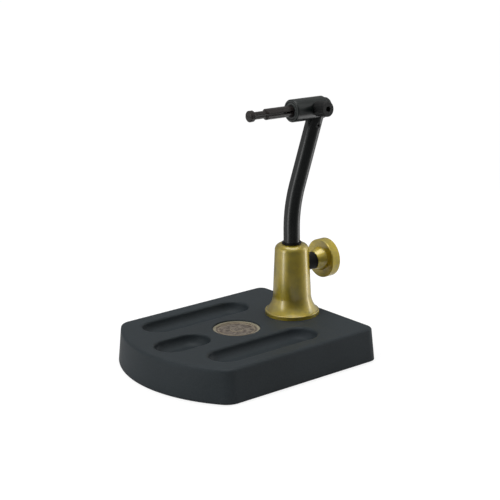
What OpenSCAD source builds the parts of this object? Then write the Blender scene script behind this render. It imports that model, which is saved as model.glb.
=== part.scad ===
// Fly tying vise on a heavy pedestal base, in millimetres.
// +Z is up, the jaws point to -X and the thumb screw to +X. The origin is on the resting
// face, at the middle of the base's length and width.

/* [Base casting] */
// Length of the base, front to rear, at its foot
base_len = 127; // [110:0.5:150]
// Width of the base at its foot
base_w = 105; // [100:0.5:130]
// Height of the casting alone
base_h = 19.05; // [17:0.05:26]
// How far the curved front edge bulges past its corners
base_front_bulge = 19.6; // [8:0.2:26]
// Corner radius at the curved front edge
base_front_corner = 10; // [4:0.5:14]
// Corner radius at the rear edge
base_rear_corner = 7; // [3:0.5:12]
// Lean of the cast side walls, in degrees
base_draft = 5.4; // [0:0.1:8]
// Radius of the rounded upper edge
base_edge_r = 1.8; // [0.6:0.1:3]
// Thickness of the non-slip pad
pad_t = 1.6; // [1:0.1:3]
// How far the pad stands out below the casting
pad_proud = 0.5; // [0.3:0.05:0.9]
// Distance from the casting's foot to the edge of the pad
pad_inset = 4; // [2:0.5:10]

/* [Trays] */
// Depth of the hook trays
tray_depth = 6.35; // [5:0.05:9]
// Width of the hook trays
tray_w = 20.4; // [14:0.2:24]
// Length of the short tray on the centre line
short_tray_len = 34; // [24:0.5:40]
// Length of the two long side trays
long_tray_len = 72; // [40:0.5:80]
// Radius at the foot of the tray walls
tray_floor_r = 5; // [2:0.1:5]
// Radius of the short tray's upper edge
short_tray_lip_r = 0.8; // [0.3:0.1:1.5]
// Radius of the long trays' upper edge
long_tray_lip_r = 1.3; // [0.3:0.1:1.5]
// Distance of the short tray's middle from the front of the base
short_tray_from_front = 26.6; // [22:0.2:30]
// Distance of the side trays' middle from the front of the base
long_tray_from_front = 59.5; // [50:0.5:68]
// Distance of the side trays from the centre line
long_tray_offset = 31; // [26:0.5:34]

/* [Medallion] */
// Diameter of the round medallion
medal_d = 27; // [20:0.2:30]
// Distance of the medallion's middle from the front of the base
medal_from_front = 64.8; // [62:0.2:70]
// Depth of the medallion's seat
medal_seat_depth = 2.2; // [1.6:0.1:4]
// Thickness of the medallion's plate
medal_t = 1.1; // [0.6:0.1:1.5]
// Width of the medallion's raised rim
medal_rim_w = 1.5; // [0.8:0.1:3]
// Height of the raised rim and rings above the plate
medal_relief = 0.35; // [0.2:0.05:0.5]

/* [Pedestal bell] */
// Distance of the stem's axis from the front of the base
stem_from_front = 106.3; // [100:0.2:108]
// Height of the bell above the base
bell_h = 42.2; // [36:0.2:60]
// Diameter of the bell's foot flange
bell_flange_d = 31.75; // [28:0.05:36]
// Height of the flange's straight rim
bell_rim_h = 2.4; // [1:0.1:3]
// Rounding of the rim's upper edge
bell_rim_r = 0.6; // [0.2:0.1:0.9]
// Diameter where the flare meets the rim
bell_flare_d = 30; // [26:0.1:31]
// Height of the concave flare
bell_flare_h = 9.5; // [8:0.5:16]
// Diameter of the body above the flare
bell_body_d = 22.3; // [20:0.1:24.6]
// Diameter of the body below its shoulder
bell_neck_d = 19.8; // [17.6:0.1:20.6]
// Radius of the rounded shoulder
bell_shoulder_r = 3.7; // [2:0.1:4]
// Depth of the bore for the stem, from the bell's top
bell_bore_depth = 37; // [30:0.5:41]
// Diameter of the spigot below the flange
bell_spigot_d = 16; // [12:0.5:20]
// Length of the spigot below the flange
bell_spigot_len = 8; // [5:0.5:10]
// Nominal diameter of the bolt that holds the bell
bolt_d = 6.35; // [5:0.05:8]
// Diameter of the bolt's head
bolt_head_d = 9.5; // [8:0.1:12]
// Height of the bolt's head
bolt_head_h = 4.2; // [3:0.1:5]
// How far the bolt reaches into the bell
bolt_grip = 9; // [6:0.5:11]
// Thickness of the washer under the bolt's head
washer_t = 0.9; // [0.5:0.1:1.5]
// Outer diameter of the washer
washer_d = 12; // [10:0.1:14]

/* [Stem] */
// Diameter of the stem rod
stem_d = 9.525; // [8:0.025:12]
// Length of the stem's straight foot, up to the bend
stem_foot_len = 36; // [30:0.5:50]
// Height of the stem's lower end above the base, at rest
stem_end_h = 14.95; // [12:0.05:20]
// Radius of the stem's bend
stem_bend_r = 75; // [50:1:120]
// Angle through which the stem bends back, in degrees
stem_lean = 19.6; // [5:0.2:30]
// Length of the leaning part, from the bend to the head's axis
stem_upper_len = 45.7; // [30:0.1:80]
// Chamfer on the stem's lower end
stem_chamfer = 0.8; // [0.3:0.1:1.5]
// Wall of the nylon sleeve between stem and bell
sleeve_wall = 0.7; // [0.6:0.05:1.5]
// Length of the sleeve inside the bell
sleeve_len = 34; // [24:0.5:36]
// Height of the sleeve's lip above the bell
sleeve_lip_h = 0.8; // [0.6:0.1:2.5]
// How far the lip stands out from the sleeve
sleeve_lip_out = 0.2; // [0.1:0.05:1.2]
// Width of the slit along the sleeve
sleeve_slit_w = 1; // [0.5:0.1:2]

/* [Thumb screw] */
// Height of the thumb screw's axis above the base
thumb_h = 28.8; // [24:0.05:32]
// Diameter of the thumb screw's rod
thumb_rod_d = 6.35; // [5:0.05:8]
// Diameter of the knob
thumb_knob_d = 22.9; // [18:0.1:30]
// Thickness of the knob's rim
thumb_rim_t = 6; // [3:0.1:8]
// Rounding of the rim's edges
thumb_rim_r = 0.5; // [0.3:0.1:1.2]
// Length of the hub between the rim and the collar
thumb_hub_len = 5.9; // [4:0.1:10]
// Diameter of the hub at the rim
thumb_hub_d = 14; // [12:0.1:17]
// Diameter of the hub at the collar
thumb_hub_tip_d = 10.6; // [9:0.1:11.8]
// Diameter of the black collar
thumb_collar_d = 10; // [9:0.1:12]
// Length of the black collar
thumb_collar_len = 6.5; // [4:0.1:10]
// Depth of the flat that the bell has round the screw
thumb_flat_depth = 1.25; // [0.8:0.05:1.8]
// Thickness of the pad at the rod's tip
thumb_pad_t = 1.2; // [0.8:0.1:1.6]

/* [Head barrel] */
// Outer diameter of the barrel
barrel_d = 13; // [12:0.1:16]
// Length of the barrel
barrel_len = 23.6; // [20:0.1:40]
// Distance from the barrel's front face to the stem's axis
barrel_fore = 20.1; // [18:0.1:36]
// Chamfer on the barrel's ends
barrel_chamfer = 0.6; // [0.2:0.1:0.9]
// How far the head's nose is tipped up, in degrees
head_tip = 1.5; // [0:0.1:10]
// Outer diameter of the bushings
bushing_d = 9.6; // [9.4:0.1:10]
// Length of the front bushing
front_bushing_len = 6; // [3:0.1:8]
// Length of the rear bushing
rear_bushing_len = 10; // [9:0.1:11]
// Diameter of the spigot that joins the barrel to the stem
head_spigot_d = 6; // [4:0.1:7]
// Length of that spigot below the barrel's wall
head_spigot_len = 9; // [8:0.1:12]
// Diameter of the set screw in the stem
set_screw_d = 3; // [2:0.1:4]
// Distance of the set screw below the barrel's wall
set_screw_drop = 3.4; // [3:0.1:6]

/* [Spindle and jaws] */
// Outer diameter of the turning spindle
spindle_d = 8; // [7.6:0.1:8.4]
// Diameter of the spindle's front collar
spindle_collar_d = 9.8; // [9:0.1:10.4]
// Thickness of the spindle's front collar
spindle_collar_t = 1.2; // [0.8:0.1:2]
// Diameter of the jaw shank
jaw_d = 6.3; // [5.6:0.1:6.3]
// Length of the jaw shank in front of the barrel
jaw_shank_len = 18.8; // [12:0.1:24]
// Diameter of the jaws' slim neck
jaw_neck_d = 4.3; // [3:0.1:5]
// Length of the slim neck
jaw_neck_len = 8.6; // [5:0.1:12]
// Diameter of the jaws' round nose
jaw_nose_d = 6.4; // [5:0.1:8]
// Length of the round nose
jaw_nose_len = 3.1; // [2:0.1:6]
// Bevel on the nose and on the shank's front edge
jaw_bevel = 0.5; // [0.2:0.1:1]
// Length of the jaws behind their pivot pin
jaw_tail_len = 9.6; // [8:0.1:10]
// Depth of the pivot pin behind the barrel's front face
jaw_pivot_depth = 5; // [4:0.1:6]
// Diameter of the jaw pivot pin
pivot_pin_d = 2; // [1.6:0.1:2.4]
// Width of the slit along the shank and neck
jaw_slit_w = 0.8; // [0.5:0.05:1.2]
// Bevel on the slit's edges in front of the barrel
jaw_slit_bevel = 0.4; // [0.1:0.05:0.5]
// Width of the gap between the closed jaws at the nose
jaw_nose_gap = 0.3; // [0.3:0.05:0.5]
// Width of the gap between the jaws' tails
jaw_tail_gap = 1.6; // [1.4:0.1:2]
// Thickness of the rubber ring round the tails
return_ring_t = 0.9; // [0.6:0.05:1]

/* [Closing knob] */
// Outer diameter of the closing knob
closing_knob_d = 10.8; // [10.6:0.1:16]
// Length of the closing knob
closing_knob_len = 2.8; // [2.8:0.1:12]
// Rounding of the closing knob's rear edge
closing_knob_r = 0.9; // [0.3:0.1:1]
// Thickness of the closing knob's rear wall
closing_wall_t = 1; // [0.8:0.05:1.2]
// Number of grip flutes round the closing knob
closing_flutes = 20; // [12:1:28]
// Depth of the grip flutes
closing_flute_depth = 0.3; // [0.1:0.05:0.4]
// Thickness of the thrust washer behind the barrel
thrust_t = 0.4; // [0.3:0.05:0.6]
// Diameter of the cone plunger's rod
plunger_d = 4; // [3.4:0.1:4.4]
// Slope of the plunger's cone, in degrees from its axis
plunger_slope = 18; // [16:0.5:20]
// Diameter of the cone's tip
plunger_tip_d = 1; // [0.6:0.1:1.4]

/* [Tension screw] */
// Diameter of the tension screw's fluted head
tension_head_d = 8.8; // [7.6:0.1:10]
// Height of the tension screw's head
tension_head_h = 8.4; // [6:0.1:10]
// Diameter of the tension screw's shank
tension_shank_d = 4.8; // [4:0.1:5.4]
// Width across the flats of its hexagon socket
tension_socket_w = 3; // [2.5:0.1:4]
// Distance of the tension screw in front of the stem's axis
tension_fore = 4.6; // [4:0.1:5.4]
// How far the tension screw points up from level, in degrees
tension_tilt = 6; // [0:0.5:15]
// Depth of the flat that the barrel has round the screw
tension_flat_depth = 0.7; // [0.4:0.05:0.8]
// Diameter of the drag plug
drag_plug_d = 3.9; // [3:0.1:4]
// Number of grip flutes round the head
tension_flutes = 30; // [20:1:36]
// Depth of the grip flutes
tension_flute_depth = 0.2; // [0.1:0.05:0.3]

/* [Fits] */
// Radial clearance of a piece that turns or slides in another
run_gap = 0.04; // [0.02:0.01:0.08]
// Gap between faces that move past each other
face_gap = 0.2; // [0.1:0.05:0.3]
// Radial clearance of a piece that is seated and stays put
seat_gap = 0.05; // [0.02:0.01:0.1]

/* [Hidden] */
$fn = 96;

// Cuts run past the faces that they open by this much
overrun = 1;
// Thickness of the layers that the casting is lofted from
film = 0.01;
// Facets of the casting's front curve and corners, and steps round its upper edge
front_facets = 240;
corner_facets = 72;
edge_steps = 4;
// A bar thins a little where it is bent, and its straight parts reach this far into the bend
bend_thinning = 0.04;
bend_lap = 1;

// Heights of the casting and of the pad's seat
base_foot = pad_proud;
base_top = base_foot + base_h;
pad_seat = pad_t;
base_front = -base_len / 2;
base_front_r = (pow(base_w / 2, 2) + pow(base_front_bulge, 2)) / (2 * base_front_bulge);
base_wall_inset = (base_h - base_edge_r) * tan(base_draft);

// The bell and the fasteners below it
stem_x = base_front + stem_from_front;
bell_top = base_top + bell_h;
bell_rim_top = base_top + bell_rim_h;
bell_body_z = bell_rim_top + bell_flare_h;
bell_shoulder_z = bell_top - bell_shoulder_r;
bell_flare_out = (bell_flare_d - bell_body_d) / 2;
bell_flare_r = (pow(bell_flare_out, 2) + pow(bell_flare_h, 2)) / (2 * bell_flare_out);
bolt_recess_d = washer_d + 4 * seat_gap;
bolt_head_z = pad_seat + face_gap;
bolt_recess_top = bolt_head_z + bolt_head_h + washer_t;

// The stem's path, from its lower end to the head's axis
stem_end_z = base_top + stem_end_h;
stem_bend_z = stem_end_z + stem_foot_len;
stem_bend_end = [stem_x + stem_bend_r * (1 - cos(stem_lean)), 0,
    stem_bend_z + stem_bend_r * sin(stem_lean)];
stem_top = stem_bend_end + stem_upper_len * [sin(stem_lean), 0, cos(stem_lean)];

// Radii of the sleeve and of the bores round it
sleeve_bore_r = stem_d / 2 + run_gap;
sleeve_r = sleeve_bore_r + sleeve_wall;
bell_bore_r = sleeve_r + run_gap;

// Places along the thumb screw's axis, from the stem's axis outwards
thumb_z = base_top + thumb_h;
thumb_body_r = bell_neck_d / 2 + (bell_body_d - bell_neck_d) / 2
    * (bell_shoulder_z - thumb_z) / (bell_shoulder_z - bell_body_z);
thumb_flat_x = thumb_body_r - thumb_flat_depth;
thumb_collar_x = thumb_flat_x + face_gap;
thumb_hub_x = thumb_collar_x + thumb_collar_len;
thumb_rim_x = thumb_hub_x + thumb_hub_len;
thumb_end_x = thumb_rim_x + thumb_rim_t;
thumb_pad_x = sleeve_r + face_gap;

// Places along the head's axis, from the barrel's front face to the rear
barrel_r = barrel_d / 2;
collar_x = face_gap / 2;
front_bushing_x = collar_x + spindle_collar_t + face_gap;
tension_x = barrel_fore - tension_fore;
rear_bushing_x = barrel_len - rear_bushing_len - 2 * barrel_chamfer;
closing_x = barrel_len + thrust_t + face_gap;
closing_end_x = closing_x + closing_knob_len;
spindle_end_x = closing_end_x - closing_wall_t - face_gap / 2;
jaw_tail_x = jaw_pivot_depth + jaw_tail_len;
jaw_bore_r = jaw_d / 2 + face_gap;
jaw_bore_end = jaw_tail_x + 2 * jaw_bevel;
jaw_neck_x = -jaw_shank_len;
jaw_nose_x = jaw_neck_x - jaw_neck_len;
jaw_tip_x = jaw_nose_x - jaw_nose_len;

// The plunger's cone fills the jaws' tails up to this radius at their ends
cone_gap = face_gap / 2;
cone_tail_r = plunger_d / 2 - jaw_bevel * tan(plunger_slope);
cone_len = (plunger_d - plunger_tip_d) / 2 / tan(plunger_slope);
cone_tip_x = jaw_tail_x + jaw_bevel - cone_len;

// The rubber ring lies in a groove round the tails
return_ring_x = jaw_pivot_depth + jaw_tail_len / 2;
return_ring_r = jaw_bore_r - seat_gap - return_ring_t / 2;

// The ring that keeps the closing knob on the spindle
retainer_t = closing_wall_t / 2;
retainer_x = (closing_x + spindle_end_x - retainer_t) / 2;
retainer_depth = retainer_t / 2;

// Places along the tension screw's axis, from the head's axis outwards
tension_flat_y = barrel_r - tension_flat_depth;
tension_head_y = tension_flat_y + face_gap;
drag_plug_y = spindle_d / 2 + run_gap;
tension_tip_y = bushing_d / 2 + seat_gap;

module base_outline(inset) {
    offset(delta = -inset) {
        intersection() {
            offset(r = base_front_corner, $fn = corner_facets) offset(delta = -base_front_corner)
                intersection() {
                    translate([base_front + base_front_r, 0])
                        circle(r = base_front_r, $fn = front_facets);
                    translate([base_front, -base_w / 2]) square([2 * base_len, base_w]);
                }
            offset(r = base_rear_corner, $fn = corner_facets) offset(delta = -base_rear_corner)
                translate([base_front - base_len, -base_w / 2]) square([2 * base_len, base_w]);
        }
    }
}

module base_layer(z, inset) {
    translate([0, 0, z]) linear_extrude(height = film) base_outline(inset);
}

// Half section of a tray: a round-footed wall, and a lip that rounds over onto the casting
module tray_section(half_w, lip_r) {
    translate([0, -tray_depth]) square([half_w - tray_floor_r, tray_depth + overrun]);
    translate([half_w - tray_floor_r, tray_floor_r - tray_depth]) circle(r = tray_floor_r);
    translate([0, tray_floor_r - tray_depth]) square([half_w, tray_depth - tray_floor_r + overrun]);
    difference() {
        translate([0, -lip_r]) square([half_w + lip_r, lip_r + overrun]);
        translate([half_w + lip_r, -lip_r]) circle(r = lip_r);
    }
}

module tray_cut(len, lip_r) {
    run = len - tray_w;
    for (end = [-1, 1])
        translate([end * run / 2, 0, 0]) rotate_extrude() intersection() {
            tray_section(tray_w / 2, lip_r);
            translate([0, -tray_depth]) square([tray_w, tray_depth + overrun]);
        }
    rotate([90, 0, 90]) translate([0, 0, -run / 2]) linear_extrude(height = run) {
        tray_section(tray_w / 2, lip_r);
        mirror([1, 0]) tray_section(tray_w / 2, lip_r);
    }
}

module base_casting() {
    color([0.22, 0.24, 0.25]) difference() {
        hull() {
            base_layer(base_foot, 0);
            for (step = [0 : edge_steps]) {
                turn = 90 * step / edge_steps;
                base_layer(base_top - film - base_edge_r * (1 - sin(turn)),
                    base_wall_inset + base_edge_r * (1 - cos(turn)));
            }
        }
        translate([base_front + short_tray_from_front, 0, base_top])
            tray_cut(short_tray_len, short_tray_lip_r);
        for (side = [-1, 1])
            translate([base_front + long_tray_from_front, side * long_tray_offset, base_top])
                tray_cut(long_tray_len, long_tray_lip_r);
        translate([base_front + medal_from_front, 0, base_top - medal_seat_depth])
            cylinder(d = medal_d + 2 * seat_gap, h = medal_seat_depth + overrun);
        translate([stem_x, 0, base_top - bell_spigot_len - face_gap])
            cylinder(d = bell_spigot_d + 2 * seat_gap, h = bell_spigot_len + face_gap + overrun);
        translate([stem_x, 0, base_foot]) cylinder(d = bolt_d + 4 * seat_gap, h = base_h);
        translate([stem_x, 0, base_foot - overrun])
            cylinder(d = bolt_recess_d, h = bolt_recess_top - base_foot + overrun);
        translate([0, 0, base_foot - overrun]) linear_extrude(height = pad_seat - base_foot + overrun)
            base_outline(pad_inset - seat_gap);
    }
}

module base_pad() {
    color([0.08, 0.08, 0.09]) linear_extrude(height = pad_t) base_outline(pad_inset);
}

module medallion() {
    plate_z = base_top - medal_seat_depth;
    medal_r = medal_d / 2;
    ring_r = medal_r - 2 * medal_rim_w;
    boss_r = ring_r / 3;
    color([0.5, 0.44, 0.38]) translate([base_front + medal_from_front, 0, plate_z]) rotate_extrude() {
        square([medal_r, medal_t]);
        translate([medal_r - medal_rim_w, 0]) square([medal_rim_w, medal_t + medal_relief]);
        translate([ring_r - medal_relief, 0]) square([medal_relief, medal_t + medal_relief / 2]);
        square([boss_r, medal_t + medal_relief / 2]);
    }
}

module bell_section() {
    rim_r = bell_flange_d / 2;
    neck_r = bell_neck_d / 2;
    translate([0, base_top]) square([rim_r, bell_rim_h - bell_rim_r]);
    translate([0, base_top]) square([rim_r - bell_rim_r, bell_rim_h]);
    translate([rim_r - bell_rim_r, bell_rim_top - bell_rim_r]) circle(r = bell_rim_r);
    difference() {
        translate([0, bell_rim_top]) square([bell_flare_d / 2, bell_flare_h]);
        translate([bell_body_d / 2 + bell_flare_r, bell_body_z]) circle(r = bell_flare_r, $fn = 2 * $fn);
    }
    polygon([[0, bell_body_z], [bell_body_d / 2, bell_body_z],
        [neck_r, bell_shoulder_z], [0, bell_shoulder_z]]);
    translate([0, bell_shoulder_z]) square([neck_r - bell_shoulder_r, bell_shoulder_r]);
    intersection() {
        translate([neck_r - bell_shoulder_r, bell_shoulder_z]) circle(r = bell_shoulder_r);
        translate([0, bell_shoulder_z]) square([neck_r, bell_shoulder_r]);
    }
    translate([0, base_top - bell_spigot_len]) square([bell_spigot_d / 2, bell_spigot_len]);
}

module bell_pedestal() {
    color([0.62, 0.54, 0.30]) difference() {
        translate([stem_x, 0, 0]) rotate_extrude() bell_section();
        translate([stem_x, 0, bell_top - bell_bore_depth])
            cylinder(r = bell_bore_r, h = bell_bore_depth + overrun);
        translate([stem_x, 0, base_top - bell_spigot_len - overrun])
            cylinder(d = bolt_d, h = bolt_grip + overrun);
        translate([stem_x, 0, thumb_z]) rotate([0, 90, 0])
            cylinder(r = thumb_rod_d / 2 + run_gap, h = bell_flange_d);
        translate([stem_x + thumb_flat_x, 0, thumb_z]) rotate([0, 90, 0])
            cylinder(r = thumb_collar_d / 2 + face_gap, h = bell_flange_d);
    }
}

// A screw's head with a hexagon socket, its open face towards -Z
module socket_head(d, h, flats) {
    socket_depth = h / 2;
    bevel = d / 20;
    difference() {
        union() {
            cylinder(d1 = d - 2 * bevel, d2 = d, h = bevel);
            translate([0, 0, bevel]) cylinder(d = d, h = h - bevel);
        }
        translate([0, 0, -overrun])
            cylinder(d = flats / cos(30), h = socket_depth + overrun, $fn = 6);
    }
}

module bell_bolt() {
    shank_z = bolt_head_z + bolt_head_h;
    color([0.15, 0.15, 0.16]) translate([stem_x, 0, 0]) {
        translate([0, 0, bolt_head_z]) socket_head(bolt_head_d, bolt_head_h, bolt_head_d / 2);
        translate([0, 0, shank_z])
            cylinder(d = bolt_d, h = base_top - bell_spigot_len + bolt_grip - shank_z - face_gap);
    }
}

module bolt_washer() {
    color([0.6, 0.6, 0.6]) translate([stem_x, 0, bolt_recess_top - washer_t]) difference() {
        cylinder(d = washer_d, h = washer_t);
        translate([0, 0, -overrun]) cylinder(d = bolt_d + 4 * seat_gap, h = washer_t + 2 * overrun);
    }
}

module stem_sleeve() {
    lip_z = bell_top + face_gap / 2;
    foot_z = bell_top - sleeve_len;
    slit_r = sleeve_r + overrun;
    color([0.07, 0.07, 0.08]) translate([stem_x, 0, 0]) difference() {
        union() {
            translate([0, 0, foot_z]) cylinder(r = sleeve_r, h = lip_z + sleeve_lip_h - foot_z);
            translate([0, 0, lip_z]) cylinder(r = sleeve_r + sleeve_lip_out, h = sleeve_lip_h);
        }
        translate([0, 0, foot_z - overrun])
            cylinder(r = sleeve_bore_r, h = lip_z + sleeve_lip_h - foot_z + 2 * overrun);
        translate([-slit_r, -sleeve_slit_w / 2, foot_z - overrun])
            cube([slit_r, sleeve_slit_w, sleeve_len + overrun - sleeve_lip_h]);
    }
}

// Puts a shape in the frame of the stem's leaning part: +Z runs along it to the head's axis
module stem_frame() {
    translate(stem_top) rotate([0, stem_lean, 0]) children();
}

// Puts a shape in the head's frame: +X runs to the rear from the barrel's front face
module head_frame() {
    translate(stem_top) rotate([0, head_tip, 0]) translate([-barrel_fore, 0, 0]) children();
}

// Puts a shape in the tension screw's frame: +Z runs outwards along it from the head's axis
module tension_frame() {
    head_frame() translate([tension_x, 0, 0]) rotate([90 - tension_tilt, 0, 0]) children();
}

// A round bar along +X
module bar_x(x, d, len) {
    translate([x, 0, 0]) rotate([0, 90, 0]) cylinder(d = d, h = len);
}

// A cone along +X
module cone_x(x, d1, d2, len) {
    translate([x, 0, 0]) rotate([0, 90, 0]) cylinder(d1 = d1, d2 = d2, h = len);
}

module stem() {
    color([0.11, 0.12, 0.13]) difference() {
        union() {
            translate([stem_x, 0, stem_end_z])
                cylinder(d1 = stem_d - 2 * stem_chamfer, d2 = stem_d, h = stem_chamfer);
            translate([stem_x, 0, stem_end_z + stem_chamfer])
                cylinder(d = stem_d, h = stem_foot_len - stem_chamfer + bend_lap);
            translate([stem_x + stem_bend_r, 0, stem_bend_z]) rotate([90, 0, 0])
                rotate([0, 0, 180 - stem_lean]) rotate_extrude(angle = stem_lean)
                    translate([stem_bend_r, 0]) circle(d = stem_d - bend_thinning);
            translate(stem_bend_end) rotate([0, stem_lean, 0]) translate([0, 0, -bend_lap])
                cylinder(d = stem_d, h = stem_upper_len + bend_lap);
        }
        head_frame() bar_x(-overrun, barrel_d, barrel_len + stem_d);
        stem_frame() translate([0, 0, -barrel_r - head_spigot_len - face_gap])
            cylinder(r = head_spigot_d / 2 + seat_gap, h = barrel_r + head_spigot_len + face_gap + overrun);
        stem_frame() translate([0, 0, -barrel_r - set_screw_drop]) rotate([90, 0, 0])
            cylinder(d = set_screw_d, h = stem_d);
    }
}

module stem_set_screw() {
    tip_y = head_spigot_d / 2 + seat_gap;
    screw_len = stem_d / 2 - tip_y - face_gap;
    color([0.1, 0.1, 0.1]) stem_frame() translate([0, 0, -barrel_r - set_screw_drop]) rotate([90, 0, 0])
        difference() {
            translate([0, 0, tip_y]) cylinder(d = set_screw_d, h = screw_len);
            translate([0, 0, tip_y + screw_len / 3])
                cylinder(d = set_screw_d / 2, h = screw_len, $fn = 6);
        }
}

module head_barrel() {
    color([0.14, 0.16, 0.16]) difference() {
        union() {
            head_frame() {
                cone_x(0, barrel_d - 2 * barrel_chamfer, barrel_d, barrel_chamfer);
                bar_x(barrel_chamfer, barrel_d, barrel_len - 2 * barrel_chamfer);
                cone_x(barrel_len - barrel_chamfer, barrel_d,
                    barrel_d - 2 * barrel_chamfer, barrel_chamfer);
            }
            stem_frame() translate([0, 0, -barrel_r - head_spigot_len])
                cylinder(d = head_spigot_d, h = barrel_r + head_spigot_len);
        }
        head_frame() {
            bar_x(-overrun, bushing_d, barrel_len + 2 * overrun);
            bar_x(-overrun, spindle_collar_d + 2 * face_gap, front_bushing_x + overrun);
        }
        tension_frame() {
            cylinder(r = tension_shank_d / 2 + run_gap, h = barrel_d);
            translate([0, 0, tension_flat_y])
                cylinder(r = tension_head_d / 2 + face_gap, h = barrel_d);
        }
    }
}

module bushing(x, len) {
    difference() {
        bar_x(x, bushing_d, len);
        bar_x(x - overrun, spindle_d + 2 * run_gap, len + 2 * overrun);
    }
}

module front_bushing() {
    color([0.55, 0.40, 0.22]) head_frame() bushing(front_bushing_x, front_bushing_len);
}

module rear_bushing() {
    color([0.55, 0.40, 0.22]) difference() {
        head_frame() bushing(rear_bushing_x, rear_bushing_len);
        tension_frame() cylinder(r = drag_plug_d / 2 + run_gap, h = barrel_d);
    }
}

module thrust_washer() {
    color([0.8, 0.8, 0.76]) head_frame() difference() {
        bar_x(barrel_len, closing_knob_d, thrust_t);
        bar_x(barrel_len - overrun, spindle_d + 2 * face_gap, thrust_t + 2 * overrun);
    }
}

module spindle() {
    color([0.3, 0.3, 0.31]) head_frame() difference() {
        union() {
            bar_x(collar_x, spindle_d, spindle_end_x - collar_x);
            bar_x(collar_x, spindle_collar_d, spindle_collar_t);
        }
        bar_x(collar_x - overrun, 2 * jaw_bore_r, jaw_bore_end - collar_x + overrun);
        bar_x(collar_x, plunger_d + 2 * run_gap, spindle_end_x);
        translate([jaw_pivot_depth, spindle_d, 0]) rotate([90, 0, 0])
            cylinder(d = pivot_pin_d, h = 2 * spindle_d);
        difference() {
            bar_x(retainer_x - seat_gap, spindle_d + overrun, retainer_t + 2 * seat_gap);
            bar_x(retainer_x - overrun, spindle_d - 2 * retainer_depth, retainer_t + 2 * overrun);
        }
    }
}

module jaw_pivot_pin() {
    color([0.7, 0.7, 0.7]) head_frame() translate([jaw_pivot_depth, spindle_d / 2 - seat_gap, 0])
        rotate([90, 0, 0]) cylinder(d = pivot_pin_d, h = spindle_d - 2 * seat_gap);
}

module jaw_return_ring() {
    color([0.06, 0.06, 0.06]) head_frame() translate([return_ring_x, 0, 0]) rotate([0, 90, 0])
        rotate_extrude() translate([return_ring_r, 0]) circle(d = return_ring_t, $fn = 24);
}

// Bevels both outer edges of the slit in a bar of diameter d
module slit_bevel(x, d, len) {
    side = jaw_slit_bevel * sqrt(2);
    for (edge = [-1, 1])
        translate([x, edge * d / 2, jaw_slit_w / 2]) rotate([45, 0, 0])
            translate([0, -side / 2, -side / 2]) cube([len, side, side]);
}

// One jaw: half of a round bar with a slim neck and a round nose, slit along its middle
module jaw() {
    difference() {
        union() {
            cone_x(jaw_tip_x, jaw_nose_d - 2 * jaw_bevel, jaw_nose_d, jaw_bevel);
            bar_x(jaw_tip_x + jaw_bevel, jaw_nose_d, jaw_nose_len - 2 * jaw_bevel);
            cone_x(jaw_nose_x - jaw_bevel, jaw_nose_d, jaw_nose_d - 2 * jaw_bevel, jaw_bevel);
            bar_x(jaw_nose_x - jaw_bevel, jaw_neck_d, jaw_neck_len + 2 * jaw_bevel);
            cone_x(jaw_neck_x, jaw_d - 2 * jaw_bevel, jaw_d, jaw_bevel);
            bar_x(jaw_neck_x + jaw_bevel, jaw_d, jaw_shank_len + jaw_tail_x - 2 * jaw_bevel);
            cone_x(jaw_tail_x - jaw_bevel, jaw_d, jaw_d - 2 * jaw_bevel, jaw_bevel);
        }
        translate([jaw_tip_x - overrun, -jaw_d, -2 * jaw_d])
            cube([jaw_tail_x - jaw_tip_x + 2 * overrun, 2 * jaw_d, 2 * jaw_d + jaw_nose_gap / 2]);
        translate([jaw_nose_x, -jaw_d, -jaw_d])
            cube([jaw_tail_x - jaw_nose_x + overrun, 2 * jaw_d, jaw_d + jaw_slit_w / 2]);
        slit_bevel(jaw_nose_x + face_gap, jaw_neck_d, jaw_neck_len);
        slit_bevel(jaw_neck_x - overrun, jaw_d, jaw_shank_len + overrun + face_gap);
        translate([jaw_pivot_depth + pivot_pin_d, -jaw_d, -jaw_d])
            cube([jaw_tail_len, 2 * jaw_d, jaw_d + jaw_tail_gap / 2]);
        translate([jaw_pivot_depth, jaw_d, 0]) rotate([90, 0, 0])
            cylinder(r = pivot_pin_d / 2 + run_gap, h = 2 * jaw_d);
        cone_x(cone_tip_x, plunger_tip_d + 2 * cone_gap, plunger_d + 2 * cone_gap, cone_len);
        difference() {
            bar_x(return_ring_x - return_ring_t, 2 * jaw_d, 2 * return_ring_t);
            bar_x(return_ring_x - return_ring_t - overrun,
                2 * return_ring_r - return_ring_t - 2 * face_gap, 2 * return_ring_t + 2 * overrun);
        }
    }
}

module upper_jaw() {
    color([0.17, 0.16, 0.15]) head_frame() jaw();
}

module lower_jaw() {
    color([0.16, 0.15, 0.14]) head_frame() mirror([0, 0, 1]) jaw();
}

module cone_plunger() {
    color([0.62, 0.62, 0.64]) head_frame() {
        cone_x(cone_tip_x, plunger_tip_d, plunger_d, cone_len);
        bar_x(cone_tip_x + cone_len, plunger_d, closing_end_x - face_gap - cone_tip_x - cone_len);
    }
}

// Shallow flutes round a knob along +Z, as a row of small cylinders to cut away
module flutes(d, count, depth, len) {
    flute_r = PI * d / count / 4;
    for (turn = [0 : count - 1])
        rotate([0, 0, 360 * turn / count]) translate([d / 2 + flute_r - depth, 0, -overrun])
            cylinder(r = flute_r, h = len + 2 * overrun, $fn = 16);
}

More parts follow.
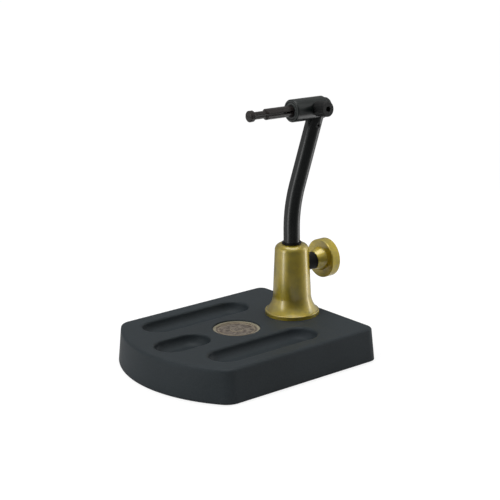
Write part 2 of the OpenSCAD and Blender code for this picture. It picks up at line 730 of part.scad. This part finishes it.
module closing_knob() {
    knob_r = closing_knob_d / 2;
    inner_r = spindle_d / 2 + run_gap;
    cup_depth = closing_knob_len - closing_wall_t;
    color([0.13, 0.14, 0.14]) head_frame() translate([closing_x, 0, 0]) rotate([0, 90, 0]) difference() {
        rotate_extrude() difference() {
            union() {
                square([knob_r, closing_knob_len - closing_knob_r]);
                square([knob_r - closing_knob_r, closing_knob_len]);
                translate([knob_r - closing_knob_r, closing_knob_len - closing_knob_r])
                    circle(r = closing_knob_r);
            }
            translate([0, -overrun]) square([inner_r, cup_depth + overrun]);
            translate([0, -overrun]) square([plunger_d / 2 + run_gap, closing_knob_len + 2 * overrun]);
            translate([0, retainer_x - closing_x - seat_gap])
                square([inner_r + retainer_depth, retainer_t + 2 * seat_gap]);
        }
        flutes(closing_knob_d, closing_flutes, closing_flute_depth, closing_knob_len);
    }
}

module knob_retainer() {
    color([0.6, 0.6, 0.6]) head_frame() difference() {
        bar_x(retainer_x, spindle_d + 2 * run_gap + retainer_depth, retainer_t);
        bar_x(retainer_x - overrun, spindle_d - 2 * retainer_depth + 2 * seat_gap,
            retainer_t + 2 * overrun);
        translate([retainer_x - overrun, -retainer_t, 0])
            cube([retainer_t + 2 * overrun, 2 * retainer_t, spindle_d]);
    }
}

module tension_screw() {
    color([0.1, 0.11, 0.11]) tension_frame() {
        translate([0, 0, tension_tip_y])
            cylinder(d = tension_shank_d, h = tension_head_y - tension_tip_y);
        translate([0, 0, tension_head_y + tension_head_h]) rotate([180, 0, 0]) difference() {
            socket_head(tension_head_d, tension_head_h, tension_socket_w);
            flutes(tension_head_d, tension_flutes, tension_flute_depth, tension_head_h);
        }
    }
}

module drag_plug() {
    color([0.85, 0.83, 0.75]) tension_frame() translate([0, 0, drag_plug_y])
        cylinder(d = drag_plug_d, h = tension_tip_y - drag_plug_y);
}

// Puts a shape in the thumb screw's frame: +Z runs outwards along it from the stem's axis
module thumb_frame() {
    translate([stem_x, 0, thumb_z]) rotate([0, 90, 0]) children();
}

module thumb_collar() {
    color([0.05, 0.05, 0.05]) thumb_frame() translate([0, 0, thumb_collar_x]) difference() {
        cylinder(d = thumb_collar_d, h = thumb_collar_len);
        translate([0, 0, -overrun])
            cylinder(r = thumb_rod_d / 2 + run_gap, h = thumb_collar_len + 2 * overrun);
    }
}

module thumb_knob() {
    hub_x = thumb_hub_x + face_gap;
    rim_r = thumb_knob_d / 2;
    core_r = rim_r - thumb_rim_r;
    dish_r = thumb_knob_d / 3;
    dish_depth = thumb_rim_t / 8;
    color([0.66, 0.58, 0.32]) thumb_frame() rotate_extrude() difference() {
        union() {
            translate([0, thumb_rim_x]) square([core_r, thumb_rim_t]);
            translate([0, thumb_rim_x + thumb_rim_r]) square([rim_r, thumb_rim_t - 2 * thumb_rim_r]);
            for (edge = [thumb_rim_x + thumb_rim_r, thumb_end_x - thumb_rim_r])
                translate([core_r, edge]) circle(r = thumb_rim_r);
            polygon([[0, hub_x], [thumb_hub_tip_d / 2, hub_x],
                [thumb_hub_d / 2, thumb_rim_x], [0, thumb_rim_x]]);
        }
        translate([0, hub_x - overrun])
            square([thumb_rod_d / 2, thumb_end_x - hub_x + 2 * overrun]);
        translate([0, thumb_end_x - dish_depth]) square([dish_r, dish_depth + overrun]);
    }
}

module thumb_screw_rod() {
    rod_x = thumb_pad_x + thumb_pad_t;
    rod_end = thumb_end_x - thumb_rim_t / 4;
    color([0.16, 0.16, 0.17]) thumb_frame() {
        translate([0, 0, rod_x]) cylinder(d = thumb_rod_d, h = rod_end - rod_x);
    }
}

module clamp_pad() {
    color([0.75, 0.66, 0.36]) thumb_frame() translate([0, 0, thumb_pad_x])
        cylinder(d = thumb_rod_d - 4 * seat_gap, h = thumb_pad_t);
}

base_casting();
base_pad();
medallion();
bell_pedestal();
bell_bolt();
bolt_washer();
stem_sleeve();
stem();
head_barrel();
front_bushing();
rear_bushing();
stem_set_screw();
thrust_washer();
spindle();
jaw_pivot_pin();
jaw_return_ring();
upper_jaw();
lower_jaw();
cone_plunger();
closing_knob();
knob_retainer();
tension_screw();
drag_plug();
thumb_collar();
thumb_knob();
thumb_screw_rod();
clamp_pad();
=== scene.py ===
"""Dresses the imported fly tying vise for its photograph: materials, light, floor and camera."""
import math

import bmesh
import bpy
from mathutils import Matrix, Vector

MM = 0.001
WHITE = (1.0, 1.0, 1.0, 1.0)
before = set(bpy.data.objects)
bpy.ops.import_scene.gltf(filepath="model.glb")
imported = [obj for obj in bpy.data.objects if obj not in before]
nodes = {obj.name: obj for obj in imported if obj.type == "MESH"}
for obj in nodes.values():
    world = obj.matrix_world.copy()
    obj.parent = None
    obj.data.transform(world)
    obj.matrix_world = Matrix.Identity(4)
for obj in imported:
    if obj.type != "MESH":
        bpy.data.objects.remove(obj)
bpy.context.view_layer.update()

# Camera fitted to the photograph: its eye in millimetres, its angles in degrees
CAMERA_EYE = Vector((-479.785, -614.751, 294.985))
CAMERA_AZIMUTH = -38.65
CAMERA_ELEVATION = 16.38
CAMERA_ROLL = -0.70
CAMERA_NEAR = 0.05
CAMERA_FAR = 20.0
FOCAL_PIXELS = 1451.84
IMAGE_PIXELS = 500
SENSOR_MM = 36.0

# From here on lengths are in metres, and a radiance of 1 looks white.
# Lamps, all aimed at one point; an azimuth is counted to the right from the camera
LAMP_AIM = Vector((0.0, 0.0, 0.06))
LAMPS = (
    # Name, azimuth, elevation, distance, width, height, radiance
    ("left_box", -58.0, 34.0, 0.9, 0.3, 0.6, 7.0),
    ("right_box", 116.0, 30.0, 0.9, 0.3, 0.6, 3.4),
    ("top_box", 170.0, 84.0, 0.95, 0.9, 0.9, 1.0),
)

# The world's light on matt surfaces: from the sides and below, and from above. A rise is the upward part
# of a direction: -1 straight down, 0 level, 1 straight up
AMBIENT = (0.34, 0.56)
AMBIENT_RISE = (0.0, 0.8)

# What gloss sees at the sides: azimuth, radiance
SIDES = (
    (-180.0, 0.25), (-128.0, 0.3), (-112.0, 0.6), (-80.0, 0.7), (-66.0, 1.1),  # left card
    (-61.0, 3.6), (-55.0, 3.6), (-50.0, 1.1), (-40.0, 0.5), (-29.0, 0.22),     # left strip of light
    (-15.0, 0.12), (50.0, 0.12),                                               # dark room
    (71.0, 0.24), (87.0, 0.65), (98.0, 0.95), (103.0, 3.4), (109.0, 3.4),      # right strip of light
    (116.0, 0.95), (130.0, 0.85), (150.0, 0.4), (180.0, 0.25),                 # right card
)
SIDES_PEAK = max(radiance for _, radiance in SIDES)
# What gloss sees above and below, each laid over the ones before: radiance, the rise at which it
# begins and the rise at which it is all that gloss sees
ABOVE_AND_BELOW = (
    (0.42, 0.35, 0.7),    # ceiling
    (3.0, 0.86, 0.95),    # lamp overhead
    (0.12, -0.3, -0.45),  # dark edge of the table
    (2.2, -0.5, -0.75),   # bright table
)

FLOOR_HALF = 3.0
# The floor lies this far under the vise, and rays shorter than the next length pass through it
FLOOR_GAP = 0.0001
CONTACT_LENGTH = 0.001
# Distances from the middle over which the drawn shadow fades into plain white, and the floor fades out
# of reflections
SHADOW_FADE = (0.2, 0.5)
GLOSS_FADE = (0.13, 0.17)
# Near the vise the drawn floor is part glow and part lit paint; all other rays meet a plain paint
FLOOR_GLOW = 0.78
FLOOR_PAINT = (0.27, 0.29)
FLOOR_BOUNCE = (0.6, 0.6, 0.6, 1.0)

# Most of a noise lies between these values
NOISE_SPAN = (0.3, 0.7)
# Factor, both entries and result among the sockets of a Mix node
MIX_SOCKETS = {"FLOAT": (0, 2, 3, 0), "RGBA": (0, 6, 7, 2)}
SHADER_SOCKETS = {
    "color": "Base Color", "metallic": "Metallic", "rough": "Roughness", "normal": "Normal",
    "coat": "Coat Weight", "coat_rough": "Coat Roughness", "coat_ior": "Coat IOR",
    "specular": "Specular IOR Level", "glow": "Emission Color", "glow_strength": "Emission Strength",
}


def toward(azimuth, elevation):
    """The direction at an azimuth, counted from -Y towards +X, and an elevation, in degrees."""
    az, el = math.radians(azimuth), math.radians(elevation)
    return Vector((math.sin(az) * math.cos(el), -math.cos(az) * math.cos(el), math.sin(el)))


def make_camera():
    back = toward(CAMERA_AZIMUTH, CAMERA_ELEVATION)
    right = toward(CAMERA_AZIMUTH + 90.0, 0.0)
    axes = Matrix((right, back.cross(right), back)).transposed().to_4x4()
    roll = Matrix.Rotation(math.radians(CAMERA_ROLL), 4, "Z")
    data = bpy.data.cameras.new("camera")
    data.sensor_width = SENSOR_MM
    data.lens = FOCAL_PIXELS / IMAGE_PIXELS * SENSOR_MM
    data.clip_start = CAMERA_NEAR
    data.clip_end = CAMERA_FAR
    camera = bpy.data.objects.new("camera", data)
    camera.matrix_world = Matrix.Translation(CAMERA_EYE * MM) @ axes @ roll
    bpy.context.scene.collection.objects.link(camera)
    bpy.context.scene.camera = camera


class Tree:
    """Adds nodes to a node tree with short calls."""

    def __init__(self, tree):
        self.tree = tree

    def add(self, kind, inputs=None, **attributes):
        node = self.tree.nodes.new(kind)
        for key, value in attributes.items():
            setattr(node, key, value)
        for key, value in (inputs or {}).items():
            self.put(node.inputs[key], value)
        return node

    def put(self, socket, value):
        """Links a socket to an output, or sets it to a plain value."""
        if isinstance(value, bpy.types.NodeSocket):
            self.tree.links.new(value, socket)
        else:
            socket.default_value = value

    def math(self, operation, a, b=0.0):
        return self.add("ShaderNodeMath", {0: a, 1: b}, operation=operation).outputs[0]

    def dot(self, a, b):
        return self.add("ShaderNodeVectorMath", {0: a, 1: b}, operation="DOT_PRODUCT").outputs["Value"]

    def length(self, vector):
        return self.add("ShaderNodeVectorMath", {0: vector}, operation="LENGTH").outputs["Value"]

    def spread(self, value, low, high, to_low=0.0, to_high=1.0, curve="LINEAR"):
        """Maps low..high to to_low..to_high and clamps it."""
        node = self.add("ShaderNodeMapRange", {
            "Value": value, "From Min": low, "From Max": high, "To Min": to_low, "To Max": to_high},
            interpolation_type=curve)
        return node.outputs["Result"]

    def mix(self, kind, factor, a, b):
        factor_socket, a_socket, b_socket, result = MIX_SOCKETS[kind]
        sockets = {factor_socket: factor, a_socket: a, b_socket: b}
        return self.add("ShaderNodeMix", sockets, data_type=kind).outputs[result]

    def fade(self, factor, a, b):
        """The number a where the factor is 0, b where it is 1."""
        return self.mix("FLOAT", factor, a, b)

    def blend(self, factor, a, b):
        """The colour a where the factor is 0, b where it is 1."""
        return self.mix("RGBA", factor, a, b)


class Material(Tree):
    """A new material, with short calls for the patterns on a surface."""

    def __init__(self, name):
        self.material = bpy.data.materials.new(name)
        self.material.use_nodes = True
        super().__init__(self.material.node_tree)
        self.shader = self.tree.nodes["Principled BSDF"]
        coordinates = self.add("ShaderNodeTexCoord").outputs
        self.place = coordinates["Object"]
        self.facing = coordinates["Normal"]

    def noise(self, scale, detail=3.0, roughness=0.5, place=None):
        """Noise from 0 to 1, scale in features per metre."""
        node = self.add("ShaderNodeTexNoise", {
            "Vector": place or self.place, "Scale": scale, "Detail": detail, "Roughness": roughness})
        return node.outputs["Fac"]

    def tone(self, noise, dark, light):
        """A colour between two, as a noise varies."""
        return self.blend(self.spread(noise, *NOISE_SPAN), dark, light)

    def vary(self, noise, low, high):
        """A number between two, as a noise varies."""
        return self.spread(noise, *NOISE_SPAN, low, high)

    def patches(self, tone, colour, noise, low, high, share):
        """Lays a colour over a tone, from none of it where a noise is low to a share of it where high."""
        return self.blend(self.spread(noise, low, high, 0.0, share), tone, colour)

    def round_axis(self, axis, share):
        """Coordinates in which a noise turns into rings round x, y or z; a small share makes them long."""
        scale = [1.0 if letter == axis else share for letter in "xyz"]
        return self.add("ShaderNodeMapping", {"Vector": self.place, "Scale": scale}).outputs["Vector"]

    def bump(self, height, strength, depth_mm, under=None):
        inputs = {"Height": height, "Strength": strength, "Distance": depth_mm * MM}
        if under is not None:
            inputs["Normal"] = under
        return self.add("ShaderNodeBump", inputs).outputs["Normal"]

    def rounded(self, radius_mm, samples=6):
        """The surface's normal, turned as if its edges were round."""
        return self.add("ShaderNodeBevel", {"Radius": radius_mm * MM}, samples=samples).outputs["Normal"]

    def worn_edges(self, radius_mm, low, high):
        """1 where the rounded and the true normal are less alike than low, 0 where more than high."""
        flat = self.add("ShaderNodeNewGeometry").outputs["Normal"]
        return self.spread(self.dot(self.rounded(radius_mm), flat), high, low)

    def finish(self, **values):
        for key, value in values.items():
            self.put(self.shader.inputs[SHADER_SOCKETS[key]], value)
        return self.material


def srgb(red, green, blue):
    """A colour given in screen values from 0 to 255, as linear light."""
    def linear(value):
        value = value / 255
        return value / 12.92 if value <= 0.04045 else ((value + 0.055) / 1.055) ** 2.4
    return (linear(red), linear(green), linear(blue), 1.0)


def powder_coat():
    """Dark paint with a fine grain over faint clouds, thick enough to round the edges."""
    n = Material("powder_coat")
    grain = n.noise(1400.0, detail=4.0, roughness=0.6)
    ripple = n.noise(320.0, detail=2.0)
    cloud = n.noise(28.0)
    tone = n.tone(cloud, srgb(31, 37, 40), srgb(38, 44, 48))
    tone = n.patches(tone, srgb(54, 59, 61), grain, 0.35, 0.75, share=0.35)
    normal = n.bump(ripple, strength=0.3, depth_mm=0.1, under=n.rounded(2.0, samples=8))
    normal = n.bump(grain, strength=0.3, depth_mm=0.04, under=normal)
    return n.finish(color=tone, metallic=0.0, rough=n.vary(cloud, 0.5, 0.58), normal=normal, specular=0.25)


def turned_brass(name, axis, dark, light):
    """Lacquered brass with fine turning marks round an axis, tarnish and small spots."""
    n = Material(name)
    marks = n.noise(5200.0, detail=2.0, place=n.round_axis(axis, share=0.04))
    cloud = n.noise(90.0, detail=4.0, roughness=0.6)
    spots = n.noise(420.0, roughness=0.6)
    tarnish = n.noise(150.0, roughness=0.55)
    tone = n.blend(n.spread(cloud, 0.32, 0.68), dark, light)
    tone = n.patches(tone, srgb(142, 134, 48), tarnish, 0.45, 0.7, share=0.55)
    tone = n.patches(tone, srgb(120, 92, 48), spots, 0.6, 0.8, share=0.4)
    wear = n.math("MULTIPLY", n.math("ADD", cloud, marks), 0.5)
    normal = n.bump(cloud, strength=0.12, depth_mm=0.25)
    normal = n.bump(marks, strength=0.05, depth_mm=0.02, under=normal)
    return n.finish(color=tone, metallic=1.0, rough=n.spread(wear, 0.35, 0.65, 0.5, 0.6), normal=normal,
                    coat=1.0, coat_rough=0.18, coat_ior=1.9)


def satin_black(name, dark, light, rough, specular, soft_edge_mm=0.2, painted_end_light=None):
    """Smooth blackened steel with scuffs and rounded edges; ends that face along X can get a lighter
    colour, painted light that stands for the light these ends catch.
    """
    n = Material(name)
    cloud = n.noise(70.0, detail=4.0, roughness=0.6)
    grain = n.noise(2200.0, roughness=0.6)
    scuff = n.noise(260.0, detail=4.0, roughness=0.65)
    tone = n.tone(cloud, dark, light)
    tone = n.patches(tone, srgb(62, 66, 64), scuff, 0.6, 0.8, share=0.25)
    # Painted light: faces that face along X get a lighter tone, standing for the light these ends catch
    if painted_end_light:
        along_x = n.add("ShaderNodeSeparateXYZ", {0: n.facing}).outputs["X"]
        tone = n.blend(n.spread(n.math("ABSOLUTE", along_x), 0.85, 0.97), tone, painted_end_light)
    normal = n.bump(scuff, strength=0.15, depth_mm=0.1, under=n.rounded(soft_edge_mm))
    normal = n.bump(grain, strength=0.15, depth_mm=0.02, under=normal)
    return n.finish(color=tone, metallic=0.0, rough=n.vary(cloud, *rough), normal=normal, specular=specular)


def bright_steel():
    """Bare turned steel."""
    n = Material("bright_steel")
    marks = n.noise(4000.0, detail=2.0, place=n.round_axis("x", share=0.05))
    tone = n.tone(marks, srgb(150, 150, 152), srgb(190, 190, 190))
    normal = n.bump(marks, strength=0.15, depth_mm=0.01)
    return n.finish(color=tone, metallic=1.0, rough=n.vary(marks, 0.25, 0.4), normal=normal)


def antique_bronze(disc):
    """Cast relief without any picture in it, in a raised ring, pale on its high places."""
    n = Material("antique_bronze")
    corners = [Vector(corner) for corner in disc.bound_box]
    centre = sum(corners, Vector()) / len(corners)
    radius = disc.dimensions.x / 2
    ring_start = 0.88 * radius
    ring_full = 0.93 * radius
    arm = n.add("ShaderNodeVectorMath", {0: n.place, 1: centre}, operation="SUBTRACT").outputs["Vector"]
    ring = n.spread(n.length(arm), ring_start, ring_full)
    relief = n.math("MAXIMUM", n.spread(n.noise(430.0, roughness=0.55), 0.38, 0.6), ring)
    cast = n.noise(1500.0, roughness=0.6)
    cloud = n.noise(90.0)
    tone = n.blend(relief, srgb(76, 66, 60), srgb(146, 138, 124))
    tone = n.patches(tone, srgb(120, 106, 98), cloud, 0.35, 0.65, share=0.5)
    tone = n.patches(tone, srgb(198, 184, 156), n.worn_edges(0.5, 0.9, 0.995), 0.0, 1.0, share=0.85)
    tone = n.patches(tone, srgb(190, 184, 156), ring, 0.0, 1.0, share=0.6)
    normal = n.bump(cast, strength=0.3, depth_mm=0.05)
    normal = n.bump(relief, strength=0.6, depth_mm=0.25, under=normal)
    return n.finish(color=tone, metallic=0.5, rough=n.vary(cast, 0.4, 0.52), normal=normal)


def moulded(name, dark, light, rough, specular=0.5):
    """Plastic or rubber with a fine moulded grain."""
    n = Material(name)
    cloud = n.noise(300.0)
    grain = n.noise(2400.0, detail=2.0)
    return n.finish(color=n.tone(cloud, dark, light), metallic=0.0, rough=n.vary(grain, rough, rough + 0.1),
                    normal=n.bump(grain, strength=0.2, depth_mm=0.02), specular=specular)


def bearing_bronze():
    """Dull bronze of the bearings."""
    n = Material("bearing_bronze")
    grain = n.noise(1600.0)
    tone = n.tone(grain, srgb(150, 108, 62), srgb(184, 140, 86))
    return n.finish(color=tone, metallic=0.9, rough=0.45, normal=n.bump(grain, strength=0.2, depth_mm=0.02))


def floor_white():
    """White for the camera, real near the vise for gloss, and clear from below and on short rays."""
    n = Material("floor_white")
    path = n.add("ShaderNodeLightPath").outputs
    camera = path["Is Camera Ray"]
    reach = n.length(n.place)
    far = n.spread(reach, *SHADOW_FADE)
    paint = n.vary(n.noise(6.0, detail=2.0), *FLOOR_PAINT)
    paint = n.math("MULTIPLY", paint, n.fade(far, 1.0, 0.0))
    n.finish(color=n.blend(camera, FLOOR_BOUNCE, paint), rough=0.8, specular=0.2, glow=WHITE,
             glow_strength=n.math("MULTIPLY", camera, n.fade(far, FLOOR_GLOW, 1.0)))
    clear = n.math("MAXIMUM", path["Is Glossy Ray"], path["Is Transmission Ray"])
    clear = n.math("MULTIPLY", clear, n.spread(reach, *GLOSS_FADE))
    clear = n.math("MAXIMUM", clear, n.add("ShaderNodeNewGeometry").outputs["Backfacing"])
    clear = n.math("MAXIMUM", clear, n.math("LESS_THAN", path["Ray Length"], CONTACT_LENGTH))
    nothing = n.add("ShaderNodeBsdfTransparent").outputs[0]
    either = n.add("ShaderNodeMixShader", {0: clear, 1: n.shader.outputs[0], 2: nothing}).outputs[0]
    n.put(n.tree.nodes["Material Output"].inputs["Surface"], either)
    return n.material


def dress_nodes():
    """Gives every carried-over CAD node its material."""
    coat = powder_coat()
    medal = antique_bronze(nodes["medallion"])
    bell = turned_brass("bell_brass", "z", srgb(174, 152, 28), srgb(191, 170, 48))
    # The knob is the same brass as the bell, painted a lighter tone: painted light for the brighter light
    # it catches
    knob = turned_brass("knob_brass", "x", srgb(194, 171, 30), srgb(212, 190, 52))
    rod = satin_black("rod_black", srgb(12, 14, 14), srgb(20, 22, 22), rough=(0.19, 0.25), specular=0.52)
    # The head's ends that face along X are painted a lighter tone, painted light on the flat ends
    head = satin_black("head_black", srgb(12, 18, 17), srgb(22, 28, 26), rough=(0.26, 0.36), specular=0.55,
                       soft_edge_mm=1.3, painted_end_light=srgb(46, 50, 49))
    jaw = satin_black("jaw_black", srgb(23, 18, 17), srgb(32, 27, 25), rough=(0.24, 0.34), specular=0.5)
    screw = satin_black("screw_black", srgb(10, 11, 11), srgb(18, 19, 19), rough=(0.4, 0.5), specular=0.4)
    steel = bright_steel()
    nylon = moulded("black_nylon", srgb(10, 9, 9), srgb(17, 15, 14), rough=0.42, specular=0.2)
    rubber = moulded("pad_rubber", srgb(34, 34, 35), srgb(42, 42, 43), rough=0.75)
    natural = moulded("natural_nylon", srgb(214, 210, 196), srgb(226, 222, 210), rough=0.45)
    bearing = bearing_bronze()
    wear = {
        "base_casting": coat, "base_pad": rubber, "medallion": medal,
        "bell_pedestal": bell, "bell_bolt": screw, "bolt_washer": steel,
        "stem_sleeve": nylon, "stem": rod, "stem_set_screw": screw,
        "thumb_knob": knob, "thumb_collar": nylon, "thumb_screw_rod": screw, "clamp_pad": bearing,
        "head_barrel": head, "front_bushing": head, "rear_bushing": bearing, "thrust_washer": steel,
        "spindle": head, "jaw_pivot_pin": steel, "jaw_return_ring": rubber,
        "upper_jaw": jaw, "lower_jaw": jaw, "cone_plunger": steel,
        "closing_knob": head, "knob_retainer": steel, "tension_screw": screw, "drag_plug": natural,
    }
    for name, node in nodes.items():
        node.data.materials.clear()
        node.data.materials.append(wear[name])


def side_light(n, azimuth):
    """The radiance of SIDES at an azimuth in radians, made of nodes."""
    ramp = n.add("ShaderNodeValToRGB", {"Fac": n.spread(azimuth, -math.pi, math.pi)})
    stops = ramp.color_ramp.elements
    while len(stops) < len(SIDES):
        stops.new(1.0)
    for stop, (degrees, radiance) in zip(stops, SIDES):
        level = radiance / SIDES_PEAK
        stop.position = degrees / 360.0 + 0.5
        stop.color = (level, level, level, 1.0)
    return n.math("MULTIPLY", ramp.outputs["Color"], SIDES_PEAK)


def make_world():
    """Even light for matt surfaces, a studio for gloss, and white for the camera and glass."""
    world = bpy.data.worlds.new("studio")
    bpy.context.scene.world = world
    world.use_nodes = True
    world.node_tree.nodes.clear()
    n = Tree(world.node_tree)
    path = n.add("ShaderNodeLightPath").outputs
    direction = n.add("ShaderNodeTexCoord").outputs["Generated"]
    rise = n.dot(direction, (0.0, 0.0, 1.0))
    to_right = n.dot(direction, toward(CAMERA_AZIMUTH + 90.0, 0.0))
    to_camera = n.dot(direction, toward(CAMERA_AZIMUTH, 0.0))
    gloss = side_light(n, n.math("ARCTAN2", to_right, to_camera))
    for radiance, start, end in ABOVE_AND_BELOW:
        gloss = n.fade(n.spread(rise, start, end, curve="SMOOTHSTEP"), gloss, radiance)
    ambient = n.fade(n.spread(rise, *AMBIENT_RISE, curve="SMOOTHSTEP"), *AMBIENT)
    seen = n.math("MAXIMUM", path["Is Camera Ray"], path["Is Transmission Ray"])
    strength = n.fade(seen, n.fade(path["Is Glossy Ray"], ambient, gloss), 1.0)
    light = n.add("ShaderNodeBackground", {"Color": WHITE, "Strength": strength})
    n.add("ShaderNodeOutputWorld", {"Surface": light.outputs[0]})


def soft_box(name, azimuth, elevation, distance, width, height, radiance):
    """A soft lamp that gloss doesn't see, because it sees the world's studio."""
    aside = toward(CAMERA_AZIMUTH + azimuth, elevation)
    data = bpy.data.lights.new(name, "AREA")
    data.shape = "RECTANGLE"
    data.size = width
    data.size_y = height
    data.energy = radiance * math.pi * width * height
    lamp = bpy.data.objects.new(name, data)
    lamp.location = LAMP_AIM + aside * distance
    lamp.rotation_euler = aside.to_track_quat("Z", "Y").to_euler()
    lamp.visible_glossy = False
    bpy.context.scene.collection.objects.link(lamp)


def make_floor():
    """A flat floor just under the vise."""
    mesh = bmesh.new()
    bmesh.ops.create_grid(mesh, x_segments=1, y_segments=1, size=FLOOR_HALF)
    data = bpy.data.meshes.new("floor")
    mesh.to_mesh(data)
    mesh.free()
    data.materials.append(floor_white())
    floor = bpy.data.objects.new("floor", data)
    floor.location.z = -FLOOR_GAP
    bpy.context.scene.collection.objects.link(floor)


make_camera()
make_world()
for lamp in LAMPS:
    soft_box(*lamp)
make_floor()
dress_nodes()
bpy.context.scene.view_settings.view_transform = "Standard"
